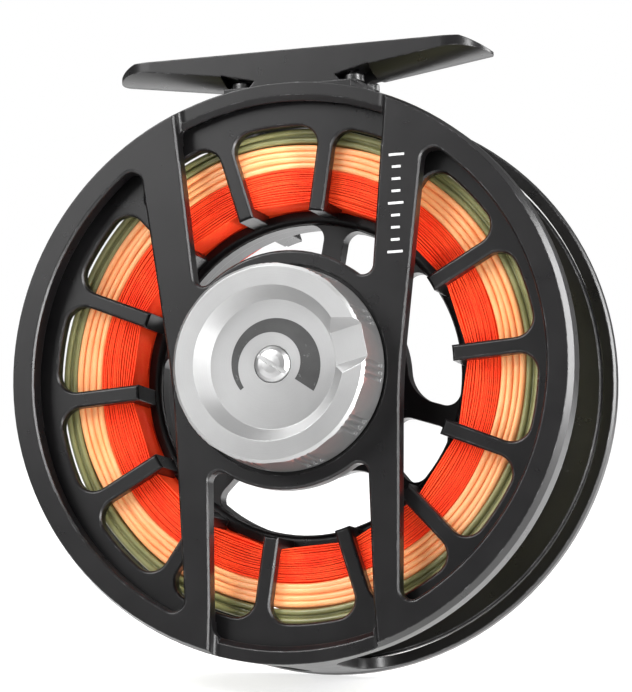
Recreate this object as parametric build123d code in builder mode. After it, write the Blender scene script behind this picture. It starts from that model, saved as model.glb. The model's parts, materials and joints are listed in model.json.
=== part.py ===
"""Fly reel with a disc drag: every piece in its own node.

Origin: centre of the foot's flat seat face. +Z out of the seat towards the rod, +X along the
foot, +Y from the drag knob's side to the handle's side. Millimetres.
The reel's axle runs along Y. Depth is measured along it from the frame's front face.
"""
from build123d import *
import os
from math import cos, radians, sin, sqrt

os.makedirs("parts", exist_ok=True)

# ---- driving dimensions -------------------------------------------------------------------
seat_to_axle = 55.2      # foot seat face down to the axle
reel_width = 33.0        # frame, front face to rear face
axle_z = -seat_to_axle
front_y = -reel_width / 2

# frame
frame_r = 48.0           # front ring and pillars, outside
frame_face_r = 47.4      # flat front face, before the edge bevel
frame_bevel = 2.0        # depth of that bevel
rear_ring_r = 48.25
cage_r = 46.2            # clear inside of the cage
front_ring_t = 5.4       # front ring, front to back
rear_ring_depth = 30.1
opening_r = 43.8         # side openings' outer radius
mid_opening_r = 45.0     # same for the two openings between the bars
plate_t = 2.8            # bars and hub plate
lip_t = 3.4              # front ring's inward lip
hub_plate_r = 19.7
step_depth = 2.0         # ring sectors between the bars lie this far back
pillar_half = 4.0
saddle_half = 11.0
saddle_top = 48.4        # above the axle

# drag housing, on the back of the hub plate
housing_r = 15.6
housing_bore = 13.2
housing_end = 11.6

# spindle and drag
spindle_r = 3.0
spindle_nose_r = 2.5
running = 0.05           # radial clearance of a running fit
knob_sides = 11
knob_r = 16.8
knob_flat = 16.1         # axle to a flat, at its front end
knob_flat_slope = 4      # degrees; the flats run out towards the back
knob_front = -9.1        # depths in front of the frame face are negative
knob_back = 0.4
knob_dish = -6.5
knob_dish_r = 10.6

# spool
spokes = 14
spoke_start = 3.2        # degrees
spoke_w = 2.6
flange_front = 4.7
flange_t = 2.2
flange_r = 45.6
window_r = 41.2
window_corner = 3.2
rear_flange = 30.0
rear_flange_r = 45.9
arbor_r = 27.1           # inside of the arbor bars
arbor_bar_r = 29.0       # outside of the arbor bars
web_ring = (13.5, 21.5)  # front and rear of the arbor's middle ring
web_ring_r = 26.1
web_plate = (14.5, 17.5)
web_spokes = (-52.0, -18.3, 47.2, 78.6, 162.0, 224.0)
web_spoke_w = 3.5
web_hub_r = 16.8
small_opening_span = 40.0

# line on the spool
backing_r = 34.3
fly_line_r = 38.6
tip_line_r = 40.8
line_gap = 0.06
line_span = (7.1, 29.8)

# handle and counterweight, on opposite spokes
handle_angle = spoke_start + 180.0
handle_ring_r = 36.8
pad_r = 5.6

# foot
foot_len = 65.0
foot_w = 14.0
arm_drop = 6.94          # underside below the seat, extended to the middle
arm_slope = 0.145
arm_round = 16.1         # radius of the arm's rounded underside
scoop_r = 14.4           # hollow across each arm's top, deepening to the tip
scoop_start = 15.0
scoop_slope = 0.105
screw_x, screw_y = 9.7, 4.6


# ---- helpers ------------------------------------------------------------------------------
def at_depth(depth):
    """A plane across the axle, facing the front; extrude a negative amount to go deeper."""
    return Plane(origin=(0, front_y + depth, axle_z), x_dir=(1, 0, 0), z_dir=(0, -1, 0))


def polar(radius, angle):
    return (radius * cos(radians(angle)), radius * sin(radians(angle)))


def half_section(*corners, centre=(0.0, 0.0)):
    """Half section of a turned piece, from (depth, radius) corners."""
    x, z = centre
    with BuildSketch(Plane.YZ.offset(x)) as section:
        with BuildLine():
            Polyline(*[(front_y + depth, axle_z + z + r) for depth, r in corners], close=True)
        make_face()
    return section.sketch


def axle(centre=(0.0, 0.0)):
    """The axis along Y through a point given from the reel's axle."""
    return Axis((centre[0], 0, axle_z + centre[1]), (0, 1, 0))


def tube(depth_a, depth_b, r_in, r_out):
    """Half section of a plain ring."""
    return half_section((depth_a, r_in), (depth_a, r_out), (depth_b, r_out), (depth_b, r_in))


def spoke_gap(angle_a, angle_b, width, r_in, r_out, inner_corner, outer_corner):
    """Opening between two parallel-sided spokes, bounded by two circles."""
    half = width / 2

    def on_side(radius, angle, side):
        along = sqrt(radius ** 2 - half ** 2)
        return Vector(*polar(along, angle)) + Vector(*polar(side * half, angle + 90))

    middle = (angle_a + angle_b) / 2
    with BuildSketch() as gap:
        with BuildLine():
            a_in, a_out = on_side(r_in, angle_a, 1), on_side(r_out, angle_a, 1)
            b_in, b_out = on_side(r_in, angle_b, -1), on_side(r_out, angle_b, -1)
            Line(a_in, a_out)
            ThreePointArc(a_out, polar(r_out, middle), b_out)
            Line(b_out, b_in)
            ThreePointArc(b_in, polar(r_in, middle), a_in)
        make_face()
        by_radius = gap.vertices().group_by(lambda v: round(sqrt(v.X ** 2 + v.Y ** 2), 1))
        fillet(by_radius[-1], outer_corner)
        if inner_corner:
            inner = gap.vertices().group_by(lambda v: round(sqrt(v.X ** 2 + v.Y ** 2), 1))
            fillet(inner[0], inner_corner)
    return gap.sketch


def ring_of_bars(depth_a, depth_b, width):
    """The arbor's axial bars, between two depths."""
    with BuildPart() as bars:
        with BuildSketch(at_depth(depth_a)):
            with PolarLocations((arbor_r + arbor_bar_r) / 2, spokes, start_angle=spoke_start):
                Rectangle(2 * (arbor_bar_r - arbor_r), width)
            Circle(arbor_bar_r, mode=Mode.INTERSECT)
            Circle(arbor_r, mode=Mode.SUBTRACT)
        extrude(amount=depth_a - depth_b)
    return bars.part


def export(builder, name):
    builder.part.label = name
    export_step(builder.part, f"parts/{name}.step")


# ---- frame --------------------------------------------------------------------------------
def side_opening():
    """Opening outside the right-hand bar, bounded by the bar's edge and the ring."""
    top = (24.45, sqrt(opening_r ** 2 - 24.45 ** 2))
    waist = (19.35, -2.0)
    foot_end = (18.15, -sqrt(opening_r ** 2 - 18.15 ** 2))
    with BuildSketch() as opening:
        with BuildLine():
            Polyline(top, waist, foot_end)
            ThreePointArc(foot_end, (opening_r, 0), top)
        make_face()
        corners = opening.vertices().sort_by(Axis.Y)
        fillet([corners[0], corners[-1]], 2.0)
        fillet(opening.vertices().sort_by_distance(waist)[0], 120)
    return opening.sketch


def middle_opening(x_rim, x_hub, side):
    """Opening between the bars, above (side 1) or below (side -1) the hub plate."""
    rim = sqrt(mid_opening_r ** 2 - x_rim ** 2) * side
    hub = sqrt(hub_plate_r ** 2 - x_hub ** 2) * side
    with BuildSketch() as opening:
        with BuildLine():
            Line((x_hub, hub), (x_rim, rim))
            ThreePointArc((x_rim, rim), (0, mid_opening_r * side), (-x_rim, rim))
            Line((-x_rim, rim), (-x_hub, hub))
            ThreePointArc((-x_hub, hub), (0, hub_plate_r * side), (x_hub, hub))
        make_face()
        fillet(opening.vertices(), 1.7)
    return opening.sketch


def sector_step(x_low, x_high, side):
    """Cutter that sets a ring sector back between the bars, with rounded inside corners."""
    with BuildPart() as cutter:
        with BuildSketch(at_depth(-1)):
            Polygon((x_low, 36 * side), (x_high, 52 * side), (-x_high, 52 * side),
                    (-x_low, 36 * side), align=None)
        extrude(amount=-1 - step_depth)
        bottom = cutter.faces().sort_by(Axis.Y)[-1]
        sides = bottom.edges().filter_by(lambda e: abs(e.center().X) > x_low * 0.9)
        fillet(sides, 1.4)
    return cutter.part


def sector_bevel(x_low, x_high, side):
    """Cutter that bevels the inner edge of a set-back ring sector."""
    with BuildPart() as cutter:
        revolve(half_section((step_depth - 0.2, mid_opening_r - 1),
                             (step_depth - 0.2, mid_opening_r + 1.1),
                             (step_depth + 0.9, mid_opening_r), (step_depth + 0.9, mid_opening_r - 1)),
                axis=axle())
        with BuildSketch(at_depth(-1)):
            Polygon((x_low, 36 * side), (x_high, 52 * side), (-x_high, 52 * side),
                    (-x_low, 36 * side), align=None)
        extrude(amount=-6, mode=Mode.INTERSECT)
    return cutter.part


def axle_distance(point):
    return sqrt(point.X ** 2 + (point.Z - axle_z) ** 2)


mid_top = middle_opening(17.85, 15.05, 1)
mid_bottom = middle_opening(13.9, 13.6, -1)
side_cut = side_opening()

with BuildPart() as frame:
    revolve(half_section((0, opening_r - 1), (0, frame_face_r), (frame_bevel, frame_r),
                         (rear_ring_depth, frame_r), (rear_ring_depth + 1, rear_ring_r),
                         (reel_width - 0.4, rear_ring_r), (reel_width, rear_ring_r - 0.4),
                         (reel_width, cage_r), (lip_t, cage_r), (lip_t, opening_r - 1)),
            axis=axle())
    with BuildSketch(at_depth(0)):
        Circle(opening_r)
    extrude(amount=-plate_t)
    # openings beside and between the bars
    with BuildSketch(at_depth(-1)):
        add(side_cut)
        add(mirror(side_cut, about=Plane.YZ))
        add(mid_top)
        add(mid_bottom)
    extrude(amount=-1 - lip_t - 0.5, mode=Mode.SUBTRACT)
    # saddle for the foot, across the top of the cage
    with BuildSketch(Plane.XY.offset(axle_z + saddle_top)):
        with Locations((0, front_y + (front_ring_t + rear_ring_depth) / 2)):
            Rectangle(2 * saddle_half, rear_ring_depth - front_ring_t)
    extrude(amount=-2.0)
    # open sides of the cage: all round but for the saddle and the bottom pillar
    for half, sense, corner in ((pillar_half, -1, 7.0), (saddle_half, 1, 3.0)):
        with BuildSketch(Plane.XY.offset(axle_z)) as window:
            with Locations((half, front_y + front_ring_t)):
                Rectangle(60, rear_ring_depth - front_ring_t, align=(Align.MIN, Align.MIN))
            fillet(window.vertices().group_by(Axis.X)[0], corner)
            mirror(about=Plane.YZ)
        extrude(amount=sense * 60, mode=Mode.SUBTRACT)
    # ring sectors between the bars are set back
    add(sector_step(17.4, 18.95, 1), mode=Mode.SUBTRACT)
    add(sector_step(13.75, 14.6, -1), mode=Mode.SUBTRACT)
    add(sector_bevel(17.0, 18.4, 1), mode=Mode.SUBTRACT)
    add(sector_bevel(12.9, 13.5, -1), mode=Mode.SUBTRACT)
    # drag housing and the raised boss under the knob
    revolve(half_section((plate_t - 0.5, housing_bore), (plate_t - 0.5, housing_r + 0.6),
                         (plate_t, housing_r + 0.6), (plate_t + 0.6, housing_r),
                         (housing_end - 0.6, housing_r), (housing_end, housing_r - 0.6),
                         (housing_end, housing_bore)), axis=axle())
    revolve(half_section((0.1, 9.2), (-2.2, 9.2), (-2.2, 13.9), (-2.0, 13.9), (-2.0, 13.4),
                         (-0.7, 13.4), (-0.7, 13.9), (0.1, 13.9)), axis=axle())
    revolve(tube(-0.1, 0.8, 14.2, 17.4), axis=axle(), mode=Mode.SUBTRACT)
    # spindle bore, thrust pin holes and the detent's pocket
    with BuildSketch(at_depth(-3)):
        Circle(spindle_r + 0.02)
        with PolarLocations(6.6, 3, start_angle=30):
            Circle(0.95)
    extrude(amount=-7, mode=Mode.SUBTRACT)
    with BuildSketch(at_depth(-3)):
        with Locations((0, 11.5)):
            Circle(0.95)
    extrude(amount=-4.8, mode=Mode.SUBTRACT)
    # threaded holes for the foot's screws
    with BuildSketch(Plane.XY.offset(axle_z + saddle_top)):
        with GridLocations(2 * screw_x, 2 * screw_y, 2, 2):
            Circle(1.02)
    extrude(amount=-4.0, mode=Mode.SUBTRACT)
    front_edges = frame.edges().filter_by_position(Axis.Y, front_y - 0.01, front_y + 0.01)
    chamfer(front_edges.filter_by(lambda e: 18 < axle_distance(e @ 0.5) < 45.5), 0.35)

# ---- foot ---------------------------------------------------------------------------------
with BuildPart() as foot:
    with BuildSketch(Plane.XY):
        SlotOverall(foot_len, foot_w)
    extrude(amount=saddle_top - seat_to_axle)
    with BuildSketch(Plane(origin=(0, 0, arm_round - arm_drop), x_dir=(0, 1, 0),
                           z_dir=(1, 0, arm_slope))):
        Circle(arm_round)
    extrude(amount=60, both=True, mode=Mode.INTERSECT)
    # the arm's top is hollow towards its tip
    with BuildSketch(Plane(origin=(scoop_start, 0, scoop_r), x_dir=(0, 1, 0),
                           z_dir=(1, 0, -scoop_slope))):
        Circle(scoop_r)
    extrude(amount=40, mode=Mode.SUBTRACT)
    split(bisect_by=Plane.YZ, keep=Keep.TOP)
    mirror(about=Plane.YZ)
    # pedestal down to the saddle
    with BuildSketch(Plane.XY.offset(saddle_top - seat_to_axle)):
        Rectangle(2 * saddle_half, foot_w)
    extrude(amount=4.0)
    under = foot.edges().filter_by(lambda e: abs(abs(e.center().X) - saddle_half) < 0.6
                                   and -6.0 < e.center().Z < -3.0 and e.length > 10)
    fillet(under, 1.3)
    # pockets for the screws, open to the front, the back and the ends
    for near in (-foot_w / 2 - 1, 1.3):
        with BuildSketch(Plane.XZ.offset(-near)):
            Polygon((7.0, -4.9), (12.9, -3.45), (12.9, -6.0), (8.0, -6.0), align=None)
            mirror(about=Plane.YZ)
        extrude(amount=-(foot_w / 2 - 0.3), mode=Mode.SUBTRACT)
    # screw holes and, above them, the driver's access holes
    with BuildSketch(Plane.XY):
        with GridLocations(2 * screw_x, 2 * screw_y, 2, 2):
            Circle(1.05)
    extrude(amount=-10, mode=Mode.SUBTRACT)

with BuildPart() as foot_screws:
    with BuildSketch(Plane.XY.offset(-6.0)):
        with GridLocations(2 * screw_x, 2 * screw_y, 2, 2):
            Circle(1.75)
    extrude(amount=1.3)
    fillet(foot_screws.edges().group_by(Axis.Z)[-1], 0.4)
    with BuildSketch(Plane.XY.offset(-4.7)):
        with GridLocations(2 * screw_x, 2 * screw_y, 2, 2):
            RegularPolygon(0.8, 6)
    extrude(amount=-0.8, mode=Mode.SUBTRACT)
    with BuildSketch(Plane.XY.offset(-6.0)):
        with GridLocations(2 * screw_x, 2 * screw_y, 2, 2):
            Circle(1.0)
    extrude(amount=-3.6)

# ---- spindle and its retaining screw --------------------------------------------------------
with BuildPart() as spindle:
    revolve(half_section((-5.3, 0), (-5.3, spindle_nose_r), (-0.8, spindle_nose_r), (-0.8, spindle_r),
                         (plate_t, spindle_r), (plate_t, 4.4), (3.9, 4.4), (3.9, spindle_r),
                         (31.0, spindle_r), (31.0, spindle_nose_r), (34.0, spindle_nose_r),
                         (34.5, 2.0), (34.5, 0)), axis=axle())
    revolve(half_section((-6, 0), (-6, 1.25), (-1.2, 1.25), (-1.2, 0)), axis=axle(),
            mode=Mode.SUBTRACT)

with BuildPart() as knob_screw:
    revolve(half_section((-7.55, 0), (-7.45, 1.5), (-7.2, 2.3), (-6.75, 2.85), (-6.5, 3.0),
                         (-5.7, 3.0), (-5.7, 1.2), (-1.8, 1.2), (-1.4, 0.8), (-1.4, 0)),
            axis=axle())
    with BuildSketch(at_depth(-8)):
        Rectangle(7, 0.7, rotation=-34)
    extrude(amount=-1.2, mode=Mode.SUBTRACT)

# ---- drag knob ------------------------------------------------------------------------------
facet = 360.0 / knob_sides
channel_angle = 10.0
channel_w = 5.3

with BuildPart() as drag_knob:
    revolve(half_section((knob_front, 12.7), (knob_front, 15.75), (knob_front + 0.55, 16.3),
                         (-7.6, 16.5), (knob_back, knob_r), (knob_back, 14.6), (-3.3, 14.6),
                         (-3.3, 6.9), (-4.6, 6.9), (-4.6, 2.6), (-5.5, 2.6), (-5.5, 3.08),
                         (knob_dish, 3.08), (knob_dish, knob_dish_r)), axis=axle())
    # flats round the side
    with BuildSketch(at_depth(knob_front - 1)):
        RegularPolygon(knob_flat, knob_sides, major_radius=False,
                       rotation=channel_angle - facet / 2)
    extrude(amount=-12, taper=-knob_flat_slope, mode=Mode.INTERSECT)
    # three fine grooves at each corner
    with BuildSketch(at_depth(knob_front - 1)):
        for step in (-4.0, 0.0, 4.0):
            with PolarLocations(knob_r - 0.2, knob_sides,
                                start_angle=channel_angle + facet / 2 + step):
                Circle(0.38)
    extrude(amount=-9.3, mode=Mode.SUBTRACT)
    # pointer channel, from the dish out through the rim and rising outwards
    rise = (knob_dish - -8.1) / (16.4 - knob_dish_r)
    outward = Vector(*polar(1, channel_angle))
    floor_point = Vector(*polar(knob_dish_r, channel_angle))
    floor = Plane(origin=(floor_point.X, front_y + knob_dish, axle_z + floor_point.Y),
                  x_dir=(outward.X, -rise, outward.Y),
                  z_dir=Vector(-rise * outward.X, -1, -rise * outward.Y))
    with BuildSketch(floor):
        Rectangle(16, channel_w, align=(Align.MIN, Align.CENTER))
    extrude(amount=4, taper=-42, mode=Mode.SUBTRACT)
    # detent dimples in the underside
    with BuildSketch(at_depth(-3.3)):
        with PolarLocations(11.5, 24, start_angle=90):
            Circle(0.5)
    extrude(amount=0.25, mode=Mode.SUBTRACT)

with BuildPart() as drag_nut:
    with BuildSketch(at_depth(-4.45)):
        RegularPolygon(6.0, 6)
        Circle(spindle_nose_r + running, mode=Mode.SUBTRACT)
    extrude(amount=-2.2)
    with BuildSketch(at_depth(-2.3)):
        Circle(4.6)
        Circle(spindle_nose_r + running, mode=Mode.SUBTRACT)
    extrude(amount=-0.9)

with BuildPart() as knob_o_ring:
    revolve(half_section((-1.9, 13.5), (-1.9, 14.3), (-1.6, 14.52), (-1.1, 14.52), (-0.8, 14.3),
                         (-0.8, 13.5)), axis=axle())

with BuildPart() as detent_ball:
    with Locations((0, front_y - 2.0, axle_z + 11.5)):
        Sphere(0.8)

with BuildPart() as detent_spring:
    with BuildLine():
        coil = Helix(pitch=0.55, height=2.5, radius=0.62, center=(0, front_y - 1.05, axle_z + 11.5),
                     direction=(0, 1, 0))
    with BuildSketch(Plane(origin=coil @ 0, z_dir=coil % 0)):
        Circle(0.12)
    sweep()

# ---- drag stack -------------------------------------------------------------------------------
with BuildPart() as thrust_ring:
    revolve(tube(-1.35, -0.75, 4.2, 8.8), axis=axle())

with BuildPart() as thrust_pins:
    with BuildSketch(at_depth(-0.75)):
        with PolarLocations(6.6, 3, start_angle=30):
            Circle(0.9)
    extrude(amount=-5.25)

with BuildPart() as pressure_plate:
    revolve(half_section((4.52, 5.0), (4.52, 12.4), (4.9, 13.1), (5.8, 13.1), (5.8, 5.0)),
            axis=axle())

with BuildPart() as drag_springs:
    for lift, flip in ((6.35, 1), (6.77, -1), (7.19, 1), (7.61, -1)):
        near, far = (lift, lift + 0.2) if flip > 0 else (lift + 0.2, lift)
        revolve(half_section((near, 5.4), (near + 0.2, 5.4), (far + 0.2, 10.0), (far, 10.0)),
                axis=axle())

with BuildPart() as housing_washer:
    revolve(tube(8.05, 8.62, 7.7, 13.1), axis=axle())

with BuildPart() as carbon_washers:
    revolve(tube(8.64, 9.14, 7.7, 12.9), axis=axle())
    revolve(tube(9.88, 10.38, 7.7, 12.9), axis=axle())

with BuildPart() as rotor_washer:
    with BuildSketch(at_depth(9.16)):
        Circle(12.9)
        RegularPolygon(7.45, 6, mode=Mode.SUBTRACT)
    extrude(amount=-0.7)

with BuildPart() as drag_cover:
    revolve(half_section((10.4, 8.4), (10.4, 13.15), (11.4, 13.15), (11.4, 6.3), (11.0, 6.3),
                         (11.0, 8.4)), axis=axle())

with BuildPart() as cover_seal:
    revolve(half_section((10.45, 6.35), (10.45, 8.35), (10.95, 8.35), (10.95, 6.35)), axis=axle())

with BuildPart() as drag_rotor:
    revolve(half_section((9.0, 0), (9.0, 7.4), (10.3, 7.4), (10.3, 6.2), (11.9, 6.2), (11.9, 5.0),
                         (19.8, 5.0), (19.8, 0)), axis=axle())
    with BuildSketch(at_depth(8.9)):
        Circle(9)
        RegularPolygon(7.4, 6, mode=Mode.SUBTRACT)
    extrude(amount=-1.4, mode=Mode.SUBTRACT)
    with BuildSketch(at_depth(8)):
        Circle(spindle_r + running)
    extrude(amount=-13, mode=Mode.SUBTRACT)

# ---- one-way clutch and bearings ----------------------------------------------------------------
with BuildPart() as clutch_shell:
    revolve(tube(12.4, 19.6, 6.7, 7.6), axis=axle())

with BuildPart() as clutch_rollers:
    with BuildSketch(at_depth(13.0)):
        with PolarLocations(5.85, 10):
            Circle(0.78)
    extrude(amount=-6.0)

bearing_depths = (20.3, 24.9)
bearing_w = 3.2

with BuildPart() as bearing_outer_races:
    for depth in bearing_depths:
        revolve(half_section((depth, 5.75), (depth, 7.0), (depth + bearing_w, 7.0),
                             (depth + bearing_w, 5.75), (depth + 2.3, 5.75), (depth + 1.6, 5.95),
                             (depth + 0.9, 5.75)), axis=axle())

with BuildPart() as bearing_inner_races:
    for depth in bearing_depths:
        revolve(half_section((depth, 3.02), (depth, 4.2), (depth + 0.9, 4.2), (depth + 1.6, 4.0),
                             (depth + 2.3, 4.2), (depth + bearing_w, 4.2),
                             (depth + bearing_w, 3.02)), axis=axle())

with BuildPart() as bearing_balls:
    for depth in bearing_depths:
        with Locations(at_depth(depth + bearing_w / 2)):
            with PolarLocations(4.975, 10):
                Sphere(0.82)

# ---- spool --------------------------------------------------------------------------------------
pitch = 360.0 / spokes
window = spoke_gap(spoke_start, spoke_start + pitch, spoke_w, 20.0, window_r, 0, window_corner)
front_bars = ring_of_bars(flange_front + 1.0, web_ring[0] + 1.5, spoke_w)
rear_bars = ring_of_bars(web_ring[1] - 1.5, rear_flange + 1.0, spoke_w + 0.6)


def flange(depth, radius, bevels):
    """A spoked flange: rim, spokes and open middle."""
    with BuildPart() as wheel:
        with BuildSketch(at_depth(depth)):
            Circle(radius)
            Circle(arbor_r, mode=Mode.SUBTRACT)
            with PolarLocations(0, spokes):
                add(window, mode=Mode.SUBTRACT)
        extrude(amount=-flange_t)
        for plane_depth, size in bevels:
            level = front_y + plane_depth
            chamfer(wheel.edges().filter_by_position(Axis.Y, level - 0.01, level + 0.01), size)
    return wheel.part


front_flange = flange(flange_front, flange_r, ((flange_front, 0.35),))
back_flange = flange(rear_flange, rear_flange_r,
                     ((rear_flange + flange_t, 0.35), (rear_flange, 0.3)))

with BuildPart() as handle_pads:
    with BuildSketch(at_depth(rear_flange)):
        with PolarLocations(handle_ring_r, 2, start_angle=spoke_start):
            Circle(pad_r)
    extrude(amount=-flange_t)

with BuildPart() as arbor_ring:
    revolve(tube(web_ring[0], web_ring[1], web_ring_r, 28.2), axis=axle())
    lip = arbor_ring.edges().filter_by_position(
        Axis.Y, front_y + web_ring[0] - 0.01, front_y + web_ring[0] + 0.01)
    fillet(lip.filter_by(lambda e: e.radius < 27), 0.95)

with BuildPart() as web:
    with BuildSketch(at_depth(web_plate[0])):
        Circle(web_ring_r + 0.6)
        Circle(12, mode=Mode.SUBTRACT)
        around = web_spokes + (web_spokes[0] + 360,)
        for angle_a, angle_b in zip(around, around[1:]):
            hub_corner = 2.3 if angle_b - angle_a < small_opening_span else 6.0
            add(spoke_gap(angle_a, angle_b, web_spoke_w, web_hub_r, web_ring_r - 0.1,
                          hub_corner, 2.3), mode=Mode.SUBTRACT)
    extrude(amount=web_plate[0] - web_plate[1])

with BuildPart() as hub:
    revolve(half_section((12.0, 7.62), (12.0, 9.4), (14.6, 9.4), (14.6, 14.0), (17.4, 14.0),
                         (20.5, 10.8), (28.6, 10.2), (29.2, 9.6), (29.2, 4.6), (28.15, 4.6),
                         (28.15, 7.02), (20.0, 7.02), (20.0, 7.62)), axis=axle())

with BuildPart() as spool:
    for piece in (arbor_ring, web, hub, front_bars, rear_bars, front_flange, back_flange,
                  handle_pads):
        add(piece)
    with BuildSketch(at_depth(rear_flange)):
        with PolarLocations(handle_ring_r, 2, start_angle=spoke_start):
            Circle(1.52)
    extrude(amount=-flange_t, mode=Mode.SUBTRACT)

# ---- line on the spool ------------------------------------------------------------------------------
with BuildPart() as backing:
    revolve(tube(line_span[0], line_span[1], arbor_bar_r + 0.15, backing_r), axis=axle())

with BuildPart() as fly_line:
    revolve(tube(line_span[0], line_span[1], backing_r + line_gap, fly_line_r), axis=axle())

with BuildPart() as tip_line:
    revolve(tube(line_span[0], line_span[1], fly_line_r + line_gap, tip_line_r), axis=axle())

# ---- handle and counterweight -----------------------------------------------------------------------
grip = polar(handle_ring_r, handle_angle)
weight = polar(handle_ring_r, spoke_start)

with BuildPart() as handle_post:
    revolve(half_section((30.2, 0), (30.2, 1.5), (32.3, 1.5), (32.3, 3.6), (33.4, 3.6),
                         (33.4, 2.0), (51.0, 2.0), (51.0, 0), centre=grip), axis=axle(grip))
    revolve(half_section((45.0, 0), (45.0, 0.95), (52.0, 0.95), (52.0, 0), centre=grip),
            axis=axle(grip), mode=Mode.SUBTRACT)

with BuildPart() as handle_bush:
    revolve(tube(33.5, 50.8, 2.0 + running, 2.7).moved(Location((grip[0], 0, grip[1]))),
            axis=axle(grip))

with BuildPart() as handle_knob:
    revolve(half_section((33.6, 2.72), (33.6, 4.1), (34.4, 4.9), (36.5, 4.6), (40.5, 3.9),
                         (45.0, 4.3), (50.0, 5.4), (52.2, 5.6), (53.6, 5.0), (54.2, 3.9),
                         (54.2, 3.3), (51.0, 3.3), (51.0, 2.72), centre=grip), axis=axle(grip))
    rims = handle_knob.edges().filter_by(GeomType.CIRCLE)
    fillet(rims.filter_by(lambda e: 5.3 < e.radius < 5.7), 0.5)

with BuildPart() as handle_screw:
    revolve(half_section((51.05, 0), (51.05, 3.1), (52.3, 3.1), (52.9, 2.3), (53.1, 1.2),
                         (53.1, 0), centre=grip), axis=axle(grip))
    revolve(half_section((45.6, 0), (45.6, 0.9), (51.2, 0.9), (51.2, 0), centre=grip),
            axis=axle(grip))
    with BuildSketch(at_depth(54)):
        with Locations(grip):
            Rectangle(8, 0.7, rotation=25)
    extrude(amount=1.5, mode=Mode.SUBTRACT)

with BuildPart() as counterweight:
    revolve(half_section((32.25, 0), (32.25, 5.2), (34.6, 5.2), (35.3, 4.5), (35.3, 0),
                         centre=weight), axis=axle(weight))
    revolve(half_section((30.2, 0), (30.2, 1.5), (32.4, 1.5), (32.4, 0), centre=weight),
            axis=axle(weight))
    with BuildSketch(at_depth(36)):
        with Locations(weight):
            RegularPolygon(1.5, 6)
    extrude(amount=1.9, mode=Mode.SUBTRACT)

# ---- spool cap --------------------------------------------------------------------------------------
with BuildPart() as thrust_washer:
    revolve(tube(29.3, 30.1, 3.05, 6.6), axis=axle())

with BuildPart() as cap_o_ring:
    revolve(tube(30.2, 30.9, 3.1, 3.9), axis=axle())

with BuildPart() as spool_cap:
    revolve(half_section((30.15, 4.0), (30.15, 8.6), (30.6, 9.0), (35.6, 9.0), (36.4, 8.2),
                         (36.4, 5.2), (35.8, 4.6), (35.8, 0), (34.7, 0), (34.7, 2.55),
                         (31.0, 2.55), (31.0, 4.0)), axis=axle())
    with BuildSketch(at_depth(31.2)):
        with PolarLocations(9.25, 24):
            Circle(0.55)
    extrude(amount=-3.8, mode=Mode.SUBTRACT)

# ---- click --------------------------------------------------------------------------------------------
click_teeth = 40
pawl_pin = (0.0, 13.9)

with BuildPart() as click_gear:
    with BuildSketch(at_depth(12.2)):
        Circle(11.2)
        with PolarLocations(11.3, click_teeth, start_angle=90):
            Circle(0.45, mode=Mode.SUBTRACT)
        Circle(9.42, mode=Mode.SUBTRACT)
    extrude(amount=-1.8)

with BuildPart() as pawl_pin_post:
    with BuildSketch(at_depth(housing_end)):
        with Locations(pawl_pin):
            Circle(0.7)
    extrude(amount=-2.7)

with BuildPart() as click_pawl:
    with BuildSketch(at_depth(12.25)):
        with Locations(pawl_pin):
            Circle(1.4)
        with BuildLine():
            Polyline((-1.1, 13.2), (1.1, 13.2), (0.22, 11.35), (-0.22, 11.35), close=True)
        make_face()
        with Locations(pawl_pin):
            Circle(0.75, mode=Mode.SUBTRACT)
    extrude(amount=-1.6)

# ---- write --------------------------------------------------------------------------------------------
for builder, name in (
        (frame, "frame"), (foot, "foot"), (foot_screws, "foot_screws"), (spindle, "spindle"),
        (knob_screw, "knob_screw"), (drag_knob, "drag_knob"), (drag_nut, "drag_nut"),
        (knob_o_ring, "knob_o_ring"), (detent_ball, "detent_ball"),
        (detent_spring, "detent_spring"), (thrust_ring, "thrust_ring"),
        (thrust_pins, "thrust_pins"), (pressure_plate, "pressure_plate"),
        (drag_springs, "drag_springs"), (housing_washer, "housing_washer"),
        (carbon_washers, "carbon_washers"), (rotor_washer, "rotor_washer"),
        (drag_cover, "drag_cover"), (cover_seal, "cover_seal"), (drag_rotor, "drag_rotor"),
        (clutch_shell, "clutch_shell"), (clutch_rollers, "clutch_rollers"),
        (bearing_outer_races, "bearing_outer_races"),
        (bearing_inner_races, "bearing_inner_races"), (bearing_balls, "bearing_balls"),
        (spool, "spool"), (backing, "backing"), (fly_line, "fly_line"), (tip_line, "tip_line"),
        (handle_post, "handle_post"), (handle_bush, "handle_bush"),
        (handle_knob, "handle_knob"), (handle_screw, "handle_screw"),
        (counterweight, "counterweight"), (thrust_washer, "thrust_washer"),
        (cap_o_ring, "cap_o_ring"), (spool_cap, "spool_cap"), (click_gear, "click_gear"),
        (pawl_pin_post, "pawl_post"), (click_pawl, "click_pawl")):
    export(builder, name)
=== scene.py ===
"""Looks of the fly reel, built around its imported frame. Metres, in the frame of the CAD part.

The reel's axle runs along Y and its drag knob faces -Y. The wound line, strand by strand, and the
printed marks are built here; every other piece keeps its CAD shape and gets a procedural finish.
"""
import bpy
import json
import random
from math import cos, hypot, radians, sin, tau
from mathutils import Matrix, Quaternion, Vector


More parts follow.
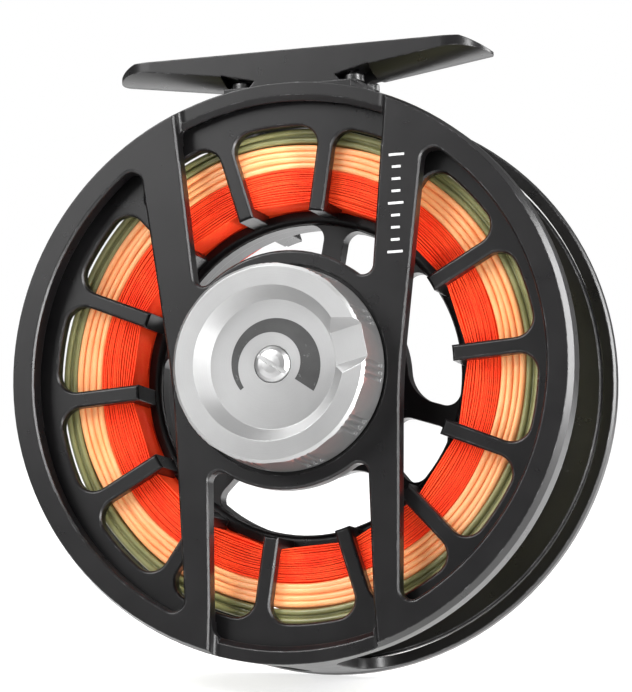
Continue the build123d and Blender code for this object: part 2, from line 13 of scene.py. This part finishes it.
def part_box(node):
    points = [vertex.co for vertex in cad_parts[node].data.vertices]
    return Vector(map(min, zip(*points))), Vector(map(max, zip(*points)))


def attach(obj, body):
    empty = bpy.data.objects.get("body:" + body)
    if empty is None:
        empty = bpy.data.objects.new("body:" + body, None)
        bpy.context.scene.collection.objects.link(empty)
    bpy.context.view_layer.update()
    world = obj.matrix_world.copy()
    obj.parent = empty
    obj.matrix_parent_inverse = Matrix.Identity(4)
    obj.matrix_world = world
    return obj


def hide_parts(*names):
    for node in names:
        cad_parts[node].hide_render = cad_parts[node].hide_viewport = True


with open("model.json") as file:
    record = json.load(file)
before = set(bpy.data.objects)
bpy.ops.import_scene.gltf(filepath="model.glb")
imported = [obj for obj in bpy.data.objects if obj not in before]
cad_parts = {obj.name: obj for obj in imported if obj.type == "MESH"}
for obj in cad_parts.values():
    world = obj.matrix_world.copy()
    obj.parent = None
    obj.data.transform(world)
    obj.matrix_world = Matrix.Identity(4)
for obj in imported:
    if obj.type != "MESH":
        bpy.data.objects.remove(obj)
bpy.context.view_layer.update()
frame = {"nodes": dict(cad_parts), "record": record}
nodes = frame["nodes"]

MM = 0.001
random.seed(11)

# ---- places taken from the frame ------------------------------------------------------------
cap_low, cap_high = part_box("spool_cap")
AXLE = Vector(((cap_low.x + cap_high.x) / 2, 0, (cap_low.z + cap_high.z) / 2))
FRONT_Y = -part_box("frame")[1].y    # the frame's flat front; its back is as far behind the origin
DISH_DEPTH = 2.6 * MM              # from the knob's front down to its flat dish
DISH_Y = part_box("drag_knob")[0].y + DISH_DEPTH
SPOKES = 14
SPOKE_START = radians(3.2)


def reach(point):
    """Distance from the axle."""
    return hypot(point.x - AXLE.x, point.z - AXLE.z)


def ring_section(node):
    """Inner radius, outer radius, front y and rear y of a ring round the axle."""
    points = [v.co for v in nodes[node].data.vertices]
    radii = [reach(p) for p in points]
    depths = [p.y for p in points]
    return min(radii), max(radii), min(depths), max(depths)


# ---- colours ----------------------------------------------------------------------------------
def rgb(red, green, blue):
    return (red, green, blue, 1.0)


def grey(level):
    return rgb(level, level, level)


# ---- shading nodes ------------------------------------------------------------------------------
class Shading:
    """Short calls that add nodes to one node tree."""

    def __init__(self, tree):
        self.tree = tree

    def node(self, kind, inputs=(), **settings):
        made = self.tree.nodes.new(kind)
        for key, value in settings.items():
            setattr(made, key, value)
        for key, value in dict(inputs).items():
            self.feed(made.inputs[key], value)
        return made

    def feed(self, socket, value):
        if isinstance(value, bpy.types.NodeSocket):
            self.tree.links.new(value, socket)
        else:
            socket.default_value = value

    def span(self, value, low, high, to_low, to_high):
        made = self.node("ShaderNodeMapRange", {
            "Value": value, "From Min": low, "From Max": high,
            "To Min": to_low, "To Max": to_high})
        return made.outputs["Result"]

    def maths(self, operation, a, b):
        return self.node("ShaderNodeMath", {0: a, 1: b}, operation=operation).outputs[0]


class Finish(Shading):
    """A procedural material: a Principled surface and the nodes that feed it."""

    def __init__(self, name):
        self.material = bpy.data.materials.new(name)
        self.material.use_nodes = True
        super().__init__(self.material.node_tree)
        self.surface = self.tree.nodes["Principled BSDF"]
        self.coords = self.node("ShaderNodeTexCoord").outputs["Object"]

    def set(self, **inputs):
        for key, value in inputs.items():
            self.feed(self.surface.inputs[key.replace("_", " ")], value)

    def noise(self, scale, detail=4.0, roughness=0.55, stretch=(1, 1, 1)):
        place = self.node("ShaderNodeMapping", {"Vector": self.coords, "Scale": stretch})
        made = self.node("ShaderNodeTexNoise", {
            "Vector": place.outputs["Vector"], "Scale": scale, "Detail": detail,
            "Roughness": roughness})
        return made.outputs["Fac"]

    def cloud(self, scale, detail=4.0):
        """Soft patches from 0 to 1."""
        return self.span(self.noise(scale, detail), 0.3, 0.7, 0, 1)

    def mix(self, amount, a, b):
        made = self.node("ShaderNodeMix", data_type="RGBA")
        self.feed(made.inputs["Factor"], amount)
        self.feed(made.inputs["A"], a)
        self.feed(made.inputs["B"], b)
        return made.outputs["Result"]

    def radius_from_axle(self):
        """Distance from the reel's axle at the shaded point, in metres."""
        parts = self.node("ShaderNodeSeparateXYZ", {0: self.coords})
        flat = self.node("ShaderNodeCombineXYZ", {
            "X": self.maths("SUBTRACT", parts.outputs["X"], AXLE.x),
            "Z": self.maths("SUBTRACT", parts.outputs["Z"], AXLE.z)})
        return self.node("ShaderNodeVectorMath", {0: flat.outputs[0]},
                         operation="LENGTH").outputs["Value"]

    def rounded(self, radius):
        """Normal that rounds the sharp edges off at the given radius."""
        return self.node("ShaderNodeBevel", {"Radius": radius}, samples=6).outputs["Normal"]

    def edges(self, radius, softness=0.12):
        """1 along the piece's sharp edges, 0 on its open faces."""
        geometry = self.node("ShaderNodeNewGeometry")
        turn = self.node("ShaderNodeVectorMath", {
            0: self.rounded(radius), 1: geometry.outputs["Normal"]}, operation="DOT_PRODUCT")
        return self.span(turn.outputs["Value"], 1.0 - softness, 1.0, 1.0, 0.0)

    def painted_crevice_shade(self, distance):
        """Painted shade mask, from ambient occlusion: 0 deep between neighbouring strands, 1 in the
        open.
        """
        made = self.node("ShaderNodeAmbientOcclusion", {"Distance": distance}, samples=6)
        return self.span(made.outputs["AO"], 0.25, 0.75, 0.0, 1.0)

    def bump(self, height, strength, distance, normal=None):
        made = self.node("ShaderNodeBump", {
            "Height": height, "Strength": strength, "Distance": distance})
        if normal is not None:
            self.feed(made.inputs["Normal"], normal)
        self.set(Normal=made.outputs["Normal"])


# ---- finishes -----------------------------------------------------------------------------------
def anodised(name, dark, light, wear, roughness):
    """Hard anodised aluminium: fine blasted grain, cloudy tone, bare metal just at rubbed edges."""
    finish = Finish(name)
    tone = finish.mix(finish.cloud(60, 5), dark, light)
    patchy = finish.span(finish.noise(420, 5, 0.7), 0.5, 0.68, 0.0, wear)
    rubbed = finish.maths("MULTIPLY", finish.edges(0.22 * MM), patchy)
    finish.set(Base_Color=finish.mix(rubbed, tone, rgb(0.42, 0.42, 0.43)))
    finish.set(Metallic=finish.span(rubbed, 0, 1, 0.1, 1.0), Specular_IOR_Level=0.42)
    finish.set(Roughness=finish.span(finish.noise(260), 0.3, 0.7,
                                     roughness - 0.01, roughness + 0.03))
    finish.bump(finish.noise(5200, 2), 0.16, 0.05 * MM, finish.rounded(0.3 * MM))
    return finish.material


def turned(name, dark, light, roughness, groove, ring=0.0, metallic=1.0):
    """Bare turned metal: rings left by the tool round the axle, small scratches, dull patches."""
    finish = Finish(name)
    rings = finish.node("ShaderNodeTexNoise", {
        "W": finish.maths("MULTIPLY", finish.radius_from_axle(), 9000), "Scale": 1.0,
        "Detail": 3.0}, noise_dimensions="1D").outputs["Fac"]
    shade = finish.maths("ADD", finish.maths("MULTIPLY", finish.noise(90, 5), 0.7),
                         finish.maths("MULTIPLY", rings, 0.3))
    finish.set(Base_Color=finish.mix(finish.span(shade, 0.3, 0.7, 0, 1), dark, light))
    finish.set(Metallic=metallic, Anisotropic=ring)
    finish.set(Roughness=finish.span(finish.noise(70, 3, 0.5), 0.2, 0.8,
                                     roughness - 0.03, roughness + 0.05))
    if ring:
        tangent = finish.node("ShaderNodeTangent", direction_type="RADIAL", axis="Y")
        finish.set(Tangent=tangent.outputs["Tangent"])
    finish.bump(rings, groove, 0.03 * MM, finish.rounded(0.12 * MM))
    return finish.material


def rubber(name):
    """Moulded seal rubber with a fine dull skin."""
    finish = Finish(name)
    finish.set(Base_Color=finish.mix(finish.cloud(900), grey(0.008), grey(0.022)))
    finish.set(Roughness=finish.span(finish.noise(500, 3), 0.3, 0.7, 0.5, 0.68))
    finish.bump(finish.noise(2600, 3), 0.25, 0.06 * MM)
    return finish.material


def carbon(name):
    """Woven carbon fibre friction disc."""
    finish = Finish(name)
    weave = finish.node("ShaderNodeTexChecker", {"Vector": finish.coords, "Scale": 900.0})
    tows = finish.noise(1500, 3, 0.5, (1, 1, 6))
    tone = finish.mix(weave.outputs["Fac"], grey(0.012), grey(0.05))
    finish.set(Base_Color=finish.mix(finish.span(tows, 0.3, 0.7, 0, 0.5), tone, grey(0.03)))
    finish.set(Roughness=finish.span(tows, 0.3, 0.7, 0.32, 0.5))
    finish.bump(weave.outputs["Fac"], 0.3, 0.05 * MM, finish.rounded(0.1 * MM))
    return finish.material


def acetal(name, dark, light):
    """Turned acetal: slight lathe lines and a waxy shine, greyer where fingers rub."""
    finish = Finish(name)
    lines = finish.noise(1800, 3, 0.6, (0.05, 1, 0.05))
    worn = finish.maths("MULTIPLY", finish.edges(0.3 * MM), 0.35)
    tone = finish.mix(finish.cloud(120), dark, light)
    finish.set(Base_Color=finish.mix(worn, tone, grey(0.14)))
    finish.set(Roughness=finish.span(lines, 0.3, 0.7, 0.3, 0.44))
    finish.bump(lines, 0.2, 0.05 * MM, finish.rounded(0.2 * MM))
    return finish.material


def coated_line(name, shadow, dark, light, painted_glow):
    """Fly line: smooth plastic coat over a braided core, with a painted glow: it emits its own
    colour though it is no lamp.
    """
    finish = Finish(name)
    drift = finish.noise(150)
    speck = finish.noise(2400, 3)
    tone = finish.mix(finish.span(drift, 0.32, 0.68, 0, 1), dark, light)
    tone = finish.mix(finish.span(speck, 0.55, 0.75, 0, 0.35), tone, dark)
    # painted shade: the shadow colour is mixed into the crevices between strands
    tone = finish.mix(finish.painted_crevice_shade(0.5 * MM), shadow, tone)
    # painted glow: the line emits its own colour as light
    finish.set(Base_Color=tone, Emission_Color=tone, Emission_Strength=painted_glow)
    finish.set(Roughness=finish.span(drift, 0.3, 0.7, 0.28, 0.42))
    finish.set(Subsurface_Weight=0.25, Subsurface_Scale=0.4 * MM,
               Subsurface_Radius=(1.0, 0.5, 0.3))
    finish.bump(finish.noise(1500, 3), 0.12, 0.06 * MM)
    return finish.material


def braid(name, shadow, dark, light, painted_glow):
    """Braided backing: fine plaited fibres in a fluorescent dye, with a painted glow: it emits its
    own colour though it is no lamp.
    """
    finish = Finish(name)
    plait = finish.node("ShaderNodeTexWave", {
        "Vector": finish.coords, "Scale": 900.0, "Distortion": 3.0, "Detail": 2.0,
        "Detail Scale": 2.0}, bands_direction="DIAGONAL")
    fibre = finish.noise(3200, 3)
    shade = finish.maths("ADD", finish.maths("MULTIPLY", fibre, 0.5),
                         finish.maths("MULTIPLY", finish.noise(200), 0.5))
    tone = finish.mix(finish.span(shade, 0.36, 0.62, 0, 1), dark, light)
    # painted shade: the shadow colour is mixed into the crevices between strands
    tone = finish.mix(finish.painted_crevice_shade(0.45 * MM), shadow, tone)
    # painted glow: the backing emits its own colour as light
    finish.set(Base_Color=tone, Emission_Color=tone, Emission_Strength=painted_glow)
    finish.set(Specular_IOR_Level=0.2)
    finish.set(Roughness=finish.span(fibre, 0.3, 0.7, 0.55, 0.8))
    finish.bump(plait.outputs["Fac"], 0.35, 0.05 * MM)
    return finish.material


def ink(name, dark, light):
    """Printed mark: even ink, thinned and chipped a little."""
    finish = Finish(name)
    chips = finish.span(finish.noise(900, 5, 0.65), 0.62, 0.7, 0, 0.6)
    tone = finish.mix(finish.cloud(160, 3), dark, light)
    finish.set(Base_Color=finish.mix(chips, tone, grey(0.2)))
    finish.set(Roughness=finish.span(chips, 0, 1, 0.45, 0.6))
    finish.bump(finish.noise(2000, 3), 0.15, 0.03 * MM)
    return finish.material


def paint_frame():
    """Every CAD node takes its finish from its material slot in the record, or its own."""
    by_slot = {
        "black_anodised": anodised("anodised_black", rgb(0.0032, 0.003, 0.0033),
                                   rgb(0.0068, 0.0064, 0.0068), wear=0.5, roughness=0.28),
        "silver": turned("satin_silver", grey(0.55), grey(0.63), 0.38, 0.2, 0.4),
        "steel": turned("polished_steel", rgb(0.5, 0.49, 0.47), rgb(0.68, 0.67, 0.65), 0.2, 0.2),
        "brass": turned("machined_brass", rgb(0.5, 0.33, 0.1), rgb(0.72, 0.5, 0.2), 0.28, 0.2),
        "rubber": rubber("nitrile"),
        "carbon": carbon("carbon_disc"),
        "acetal": acetal("black_acetal", grey(0.018), grey(0.035)),
    }
    by_node = {
        "foot_screws": turned("blackened_steel", grey(0.05), grey(0.1), 0.35, 0.2),
        "drag_knob": turned("blasted_silver", grey(0.31), grey(0.37), 0.34, 0.15, 0.3, 0.75),
        "knob_screw": turned("brushed_screw", grey(0.42), grey(0.52), 0.36, 0.4),
    }
    for part in frame["record"]["subparts"]:
        material = by_node.get(part["node"], by_slot.get(part["material_slot"]))
        if material:
            shape = nodes[part["node"]].data
            shape.materials.clear()
            shape.materials.append(material)


# ---- new pieces ---------------------------------------------------------------------------------
def add_piece(name, points, faces, material, body):
    """A piece from plain mesh data, riding on a body."""
    mesh = bpy.data.meshes.new(name)
    mesh.from_pydata(points, [], faces)
    mesh.materials.append(material)
    piece = bpy.data.objects.new(name, mesh)
    bpy.context.scene.collection.objects.link(piece)
    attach(piece, body)
    return piece


# ---- wound line -----------------------------------------------------------------------------
STEPS = 196              # points round one turn, a multiple of the spoke count
BACKING_LAYERS = 16
ROUND_LAYER = 7          # the backing lies flat over the bars below this layer
BACKING_LOOSE = 0.07 * MM
BACKING_TIGHT = 0.01 * MM     # its first layer, on the bars
BACKING_LEAN = 0.12 * MM
LINE_SIDES = 10          # sides of a fly line strand
BACKING_SIDES = 5        # sides of a backing strand


def waver(count, size):
    """A smooth random drift round the axle, the same at both ends of a turn."""
    waves = [(k, random.uniform(-1, 1) * size / k ** 0.5, random.uniform(0, tau))
             for k in range(1, count + 1)]
    return lambda angle: sum(a * sin(k * angle + phase) for k, a, phase in waves)


def over_bars(angle, radius):
    """Radius of a thread pulled straight from one arbor bar to the next."""
    pitch = tau / SPOKES
    from_middle = (angle - SPOKE_START) % pitch - pitch / 2
    return radius * cos(pitch / 2) / cos(from_middle)


class Winding:
    """Collects the turns of one line into a single mesh."""

    def __init__(self, thickness, sides):
        self.r = thickness / 2
        self.sides = sides
        self.points = []
        self.faces = []

    def turn(self, radius_at, depth_at, turns=1):
        """One strand, round once and closed, or several times round as an open coil."""
        first = len(self.points)
        steps = STEPS * turns
        closed = turns == 1
        for i in range(steps if closed else steps + 1):
            angle = tau * i / STEPS
            radius, depth = radius_at(angle), depth_at(angle)
            for j in range(self.sides):
                around = tau * (j + 0.5) / self.sides
                r = radius + self.r * cos(around)
                self.points.append((AXLE.x + r * cos(angle), depth + self.r * sin(around),
                                    AXLE.z + r * sin(angle)))
        for i in range(steps):
            a = first + i * self.sides
            b = first + ((i + 1) % steps if closed else i + 1) * self.sides
            for j in range(self.sides):
                k = (j + 1) % self.sides
                self.faces.append((a + j, b + j, b + k, a + k))

    def core(self, inner, outer, front, rear):
        """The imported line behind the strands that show."""
        first = len(self.points)
        corners = ((inner, front), (outer, front), (outer, rear), (inner, rear))
        for i in range(STEPS):
            angle = tau * i / STEPS
            for radius, depth in corners:
                self.points.append((AXLE.x + radius * cos(angle), depth,
                                    AXLE.z + radius * sin(angle)))
        for i in range(STEPS):
            a = first + 4 * i
            b = first + 4 * ((i + 1) % STEPS)
            for j in range(4):
                k = (j + 1) % 4
                self.faces.append((a + j, a + k, b + k, b + j))

    def wear(self, name, material, slot, stands_for):
        """Make the piece, on the spool, in place of the CAD's plain ring."""
        piece = add_piece(name, self.points, self.faces, material, "spool")
        piece.data.shade_smooth()
        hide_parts(stands_for)


pack_drift = waver(5, 0.16 * MM)


def wind_line(node, layers, thickness, loose, drift_out=1.0, coil_outside=False, swell=0.0):
    """Strands of one line: both side faces of every layer, and its outermost layer as a coil.

    drift_out is the outermost layer's share of the pack's own drift, and swell how far that
    layer stands out of the CAD ring.
    """
    inner, outer, front, rear = ring_section(node)
    outer += swell
    winding = Winding(thickness, LINE_SIDES)
    half = thickness / 2
    step = (outer - inner - thickness) / (layers - 1)
    for layer in range(layers):
        base = inner + half + step * layer
        drift_size = 1.0 + (drift_out - 1.0) * layer / (layers - 1)
        for side_depth, inward in ((front + half, 1), (rear - half, -1)):
            own = waver(13, loose)
            lean = waver(5, loose)
            winding.turn(
                lambda a: base + drift_size * pack_drift(a) + own(a),
                lambda a: side_depth + inward * abs(lean(a)))
    if coil_outside:
        turns = int((rear - front - 3 * thickness) / thickness)
        own = waver(4, loose)
        winding.turn(
            lambda a: outer - half + drift_out * pack_drift(a) + own(a % tau) * 0.5,
            lambda a: front + 1.5 * thickness + thickness * a / tau, turns)
    winding.core(inner + half, outer - half, front + half, rear - half)
    return winding


def wind_backing(node, thickness):
    """Thin backing: lies flat over the arbor bars, then rounds out layer by layer."""
    inner, outer, front, rear = ring_section(node)
    winding = Winding(thickness, BACKING_SIDES)
    half = thickness / 2
    step = (outer - inner - thickness) / (BACKING_LAYERS - 1)

    def radius_of(layer, own):
        base = inner + half + step * layer
        flat = max(0.0, 1 - layer / ROUND_LAYER)
        share = layer / (BACKING_LAYERS - 1)
        return lambda a: (base * (1 - flat) + over_bars(a, base) * flat
                          + share * pack_drift(a) + own(a))

    for layer in range(BACKING_LAYERS):
        for side_depth, inward in ((front + half, 1), (rear - half, -1)):
            own = waver(16, BACKING_LOOSE if layer else BACKING_TIGHT)
            lean = waver(9, BACKING_LEAN)
            winding.turn(radius_of(layer, own), lambda a: side_depth + inward * abs(lean(a)))
    for i in range(int((rear - front) / thickness) - 2):
        depth = front + thickness * (i + 1.5)
        winding.turn(radius_of(0, lambda a: 0.0), lambda a: depth)
    winding.core(inner + half, outer - half, front + thickness, rear - thickness)
    return winding


def wind_spool():
    """Backing, fly line and its tip section, from the arbor outwards."""
    # painted light: each line's first colour is the painted shade between its strands, and its last
    # argument a painted glow.
    orange = braid("backing_braid", rgb(0.34, 0.009, 0.004), rgb(0.9, 0.03, 0.007),
                   rgb(1.0, 0.085, 0.02), painted_glow=0.2)
    peach = coated_line("peach_line", rgb(0.75, 0.22, 0.06), rgb(0.9, 0.36, 0.14),
                        rgb(0.96, 0.45, 0.2), painted_glow=0.12)
    olive = coated_line("olive_line", rgb(0.08, 0.078, 0.025), rgb(0.17, 0.165, 0.065),
                        rgb(0.25, 0.24, 0.1), painted_glow=0.03)
    backing = wind_backing("backing", thickness=0.3 * MM)
    backing.wear("backing_winding", orange, "backing_braid", "backing")
    fly = wind_line("fly_line", layers=4, thickness=1.1 * MM, loose=0.13 * MM)
    fly.wear("fly_line_winding", peach, "line_peach", "fly_line")
    tip = wind_line("tip_line", layers=2, thickness=1.08 * MM, loose=0.12 * MM,
                    drift_out=0.7, coil_outside=True, swell=0.35 * MM)
    tip.wear("tip_line_winding", olive, "line_olive", "tip_line")


# ---- generic marks --------------------------------------------------------------------------
INK_HEIGHT = 0.02 * MM
INK_INSET = 0.04 * MM         # softens a mark's edge
TICKS = 9
LONG_TICK_EVERY = 4
TICK_TOP = 34.0 * MM          # the first tick, above the axle
TICK_SIDE = 20.0 * MM         # the first tick, to the right of the axle
TICK_PITCH = 2.0 * MM
BAR_LEAN = 0.045              # sideways lean of the bar's middle
TICK_LONG, TICK_SHORT, TICK_WIDTH = 2.6 * MM, 1.5 * MM, 0.42 * MM
WEDGE_R = 6.4 * MM
WEDGE_THIN, WEDGE_THICK = 0.7 * MM, 3.8 * MM
WEDGE_START, WEDGE_SWEEP = radians(215), radians(-250)
WEDGE_STEPS = 60


def add_tick(name, x, z, length, material):
    """A thin printed bar on the frame's front face, with a softened edge."""
    half_length, half_width = length / 2, TICK_WIDTH / 2
    outline = [(x - half_length, z - half_width), (x + half_length, z - half_width),
               (x + half_length, z + half_width), (x - half_length, z + half_width)]
    points = [(px, FRONT_Y, pz) for px, pz in outline]
    for px, pz in outline:
        pull = Vector((x - px, 0, z - pz)).normalized() * INK_INSET
        points.append((px + pull.x, FRONT_Y - INK_HEIGHT, pz + pull.z))
    faces = [(i, (i + 1) % 4, 4 + (i + 1) % 4, 4 + i) for i in range(4)]
    faces.append((4, 5, 6, 7))
    add_piece(name, points, faces, material, "frame")


def bar_ticks(material):
    """Plain graduation marks down the right bar of the frame."""
    for i in range(TICKS):
        down = TICK_PITCH * i
        length = TICK_SHORT if i % LONG_TICK_EVERY else TICK_LONG
        add_tick(f"bar_tick_{i + 1}", AXLE.x + TICK_SIDE - BAR_LEAN * down,
                 AXLE.z + TICK_TOP - down, length, material)


def drag_wedge(material):
    """Curved wedge round the knob's screw that widens towards more drag."""
    outer, inner = [], []
    for i in range(WEDGE_STEPS + 1):
        share = i / WEDGE_STEPS
        angle = WEDGE_START + WEDGE_SWEEP * share
        half = (WEDGE_THIN + (WEDGE_THICK - WEDGE_THIN) * share) / 2
        for rim, radius in ((outer, WEDGE_R + half), (inner, WEDGE_R - half)):
            rim.append((AXLE.x + radius * cos(angle), AXLE.z + radius * sin(angle)))
    points = [(x, level, z) for level in (DISH_Y, DISH_Y - INK_HEIGHT) for x, z in outer + inner]
    row = WEDGE_STEPS + 1
    top = 2 * row
    faces = []
    for i in range(WEDGE_STEPS):
        faces.append((top + i, top + i + 1, top + row + i + 1, top + row + i))
        faces.append((i, i + 1, top + i + 1, top + i))
        faces.append((row + i + 1, row + i, top + row + i, top + row + i + 1))
    add_piece("drag_wedge", points, faces, material, "drag_knob")


# ---- stage ------------------------------------------------------------------------------------
CAMERA_TURN = radians(16.879)      # to the reel's right
CAMERA_RISE = radians(-7.967)      # below the axle's level
CAMERA_ROLL = radians(-1.571)
CAMERA_DISTANCE = 668.46 * MM
CAMERA_TARGET = AXLE + Vector((0.44, 0, 5.86)) * MM
LENS = 208.1
FLOOR_GRAZE = radians(3.0)         # how far the camera looks down on the floor
FLOOR_SIZE = 1.2
FLOOR_CELLS = 24
FLOOR_FADE = 0.12                  # the floor is whole this far out, then fades
LAMPS = (
    # name, place from the axle, width and height, watts
    ("key", (-0.32, -0.45, 0.5), (0.4, 0.4), 5.5),
    ("front_high", (-0.3, -0.42, 0.24), (0.34, 0.34), 1.4),
    ("edge_right", (0.6, 0.5, 0.05), (0.4, 0.9), 10),
    ("strip_right", (0.6, -0.3, 0.05), (0.12, 0.9), 9),
    ("low_right", (0.6, -0.35, -0.3), (0.35, 0.35), 9),
    ("low_left", (-0.6, -0.35, -0.35), (0.4, 0.4), 6),
    ("top", (0.0, 0.2, 0.75), (0.7, 0.5), 3.5),
)


def add_camera():
    """The camera, and the direction from the reel towards it."""
    data = bpy.data.cameras.new("camera")
    data.lens = LENS
    data.sensor_width = 36
    data.clip_start, data.clip_end = 0.01, 20
    camera = bpy.data.objects.new("camera", data)
    bpy.context.scene.collection.objects.link(camera)
    back = Vector((sin(CAMERA_TURN) * cos(CAMERA_RISE), -cos(CAMERA_TURN) * cos(CAMERA_RISE),
                   sin(CAMERA_RISE)))
    camera.location = CAMERA_TARGET + back * CAMERA_DISTANCE
    camera.rotation_mode = "QUATERNION"
    aim = (-back).to_track_quat("-Z", "Y")
    camera.rotation_quaternion = aim @ Quaternion((0, 0, 1), CAMERA_ROLL)
    bpy.context.scene.camera = camera
    return camera, back


def add_floor(camera, back):
    """A floor almost level to the camera's eye, under the reel's lowest point, seen from above."""
    up = camera.rotation_quaternion @ Vector((0, 1, 0))
    normal = (up * cos(FLOOR_GRAZE) + back * sin(FLOOR_GRAZE)).normalized()
    lowest = min(v.co.dot(normal) for piece in nodes.values() for v in piece.data.vertices)
    bpy.ops.mesh.primitive_grid_add(x_subdivisions=FLOOR_CELLS, y_subdivisions=FLOOR_CELLS,
                                    size=FLOOR_SIZE)
    floor = bpy.context.object
    floor.name = "floor"
    floor.rotation_mode = "QUATERNION"
    floor.rotation_quaternion = normal.to_track_quat("Z", "Y")
    floor.location = AXLE - normal * (AXLE.dot(normal) - lowest)
    finish = Finish("pale_floor")
    finish.set(Base_Color=finish.mix(finish.noise(14), grey(0.5), grey(0.55)), Roughness=0.7)
    finish.set(Emission_Color=grey(1.0), Emission_Strength=0.72, Specular_IOR_Level=0.1)
    distance = finish.node("ShaderNodeVectorMath", {0: finish.coords}, operation="LENGTH")
    fade = finish.span(distance.outputs["Value"], FLOOR_FADE, FLOOR_SIZE / 2, 1.0, 0.0)
    below = finish.node("ShaderNodeNewGeometry").outputs["Backfacing"]
    finish.set(Alpha=finish.maths("MULTIPLY", fade, finish.maths("SUBTRACT", 1.0, below)))
    floor.data.materials.append(finish.material)


def add_room():
    """White backdrop for the eye; a dimmer room for reflections, darker low down and behind."""
    world = bpy.data.worlds.new("studio")
    bpy.context.scene.world = world
    world.use_nodes = True
    room = Shading(world.node_tree)
    coords = room.node("ShaderNodeTexCoord").outputs["Generated"]
    towards = room.node("ShaderNodeSeparateXYZ", {0: coords}).outputs
    by_height = room.span(towards["Z"], -0.2, 0.5, 0.03, 0.5)
    by_depth = room.span(towards["Y"], 0.0, 0.9, 1.0, 0.35)
    reflected = room.tree.nodes["Background"]
    room.feed(reflected.inputs["Color"], grey(1.0))
    room.feed(reflected.inputs["Strength"], room.maths("MULTIPLY", by_height, by_depth))
    backdrop = room.node("ShaderNodeBackground", {"Color": grey(1.0), "Strength": 1.0})
    seen = room.node("ShaderNodeLightPath").outputs["Is Camera Ray"]
    choose = room.node("ShaderNodeMixShader", {
        "Fac": seen, 1: reflected.outputs[0], 2: backdrop.outputs[0]})
    room.feed(room.tree.nodes["World Output"].inputs["Surface"], choose.outputs[0])


def add_lamps():
    """Soft boxes round the reel, all aimed at its axle."""
    for name, place, size, power in LAMPS:
        data = bpy.data.lights.new(name, "AREA")
        data.shape = "RECTANGLE"
        data.size, data.size_y = size
        data.energy = power
        lamp = bpy.data.objects.new(name, data)
        bpy.context.scene.collection.objects.link(lamp)
        lamp.location = AXLE + Vector(place)
        lamp.rotation_mode = "QUATERNION"
        lamp.rotation_quaternion = (AXLE - lamp.location).to_track_quat("-Z", "Y")


paint_frame()
wind_spool()
bar_ticks(ink("tick_paint", grey(0.4), grey(0.5)))
drag_wedge(ink("wedge_ink", grey(0.012), grey(0.03)))
the_camera, towards_camera = add_camera()
add_floor(the_camera, towards_camera)
add_room()
add_lamps()
bpy.context.scene.view_settings.view_transform = "Standard"
bpy.context.scene.view_settings.look = "None"
